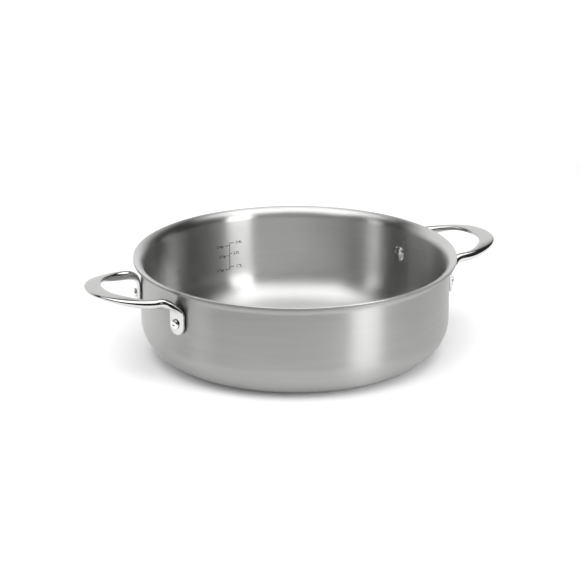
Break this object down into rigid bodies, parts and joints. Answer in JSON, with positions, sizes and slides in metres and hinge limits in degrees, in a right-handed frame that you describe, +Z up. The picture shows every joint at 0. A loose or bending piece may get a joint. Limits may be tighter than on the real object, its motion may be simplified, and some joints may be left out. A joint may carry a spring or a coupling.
{
  "type": "saute pan",
  "caption": "Round saute pan with straight brushed-steel walls, a rounded bottom corner, a flared pouring lip and riveted cast loop handles, for frying and braising.",
  "frame": {"origin": "centre of the base, on the surface that the pan stands on", "axes": "+Z up out of the mouth, +X along the line through the handles"},
  "size_m": [0.4092, 0.299, 0.0915],
  "materials": {
    "liner_steel": "satin",
    "core_aluminium": "satin",
    "skin_steel": "satin",
    "handle_steel": "polished",
    "rivet_steel": "polished"
  },
  "bodies": {
    "root": {"inner_liner": "liner_steel", "aluminium_core": "core_aluminium", "outer_skin": "skin_steel", "handle_left": "handle_steel", "handle_right": "handle_steel", "rivet_left_front": "rivet_steel", "rivet_left_rear": "rivet_steel", "rivet_right_front": "rivet_steel", "rivet_right_rear": "rivet_steel"}
  },
  "joints": []
}
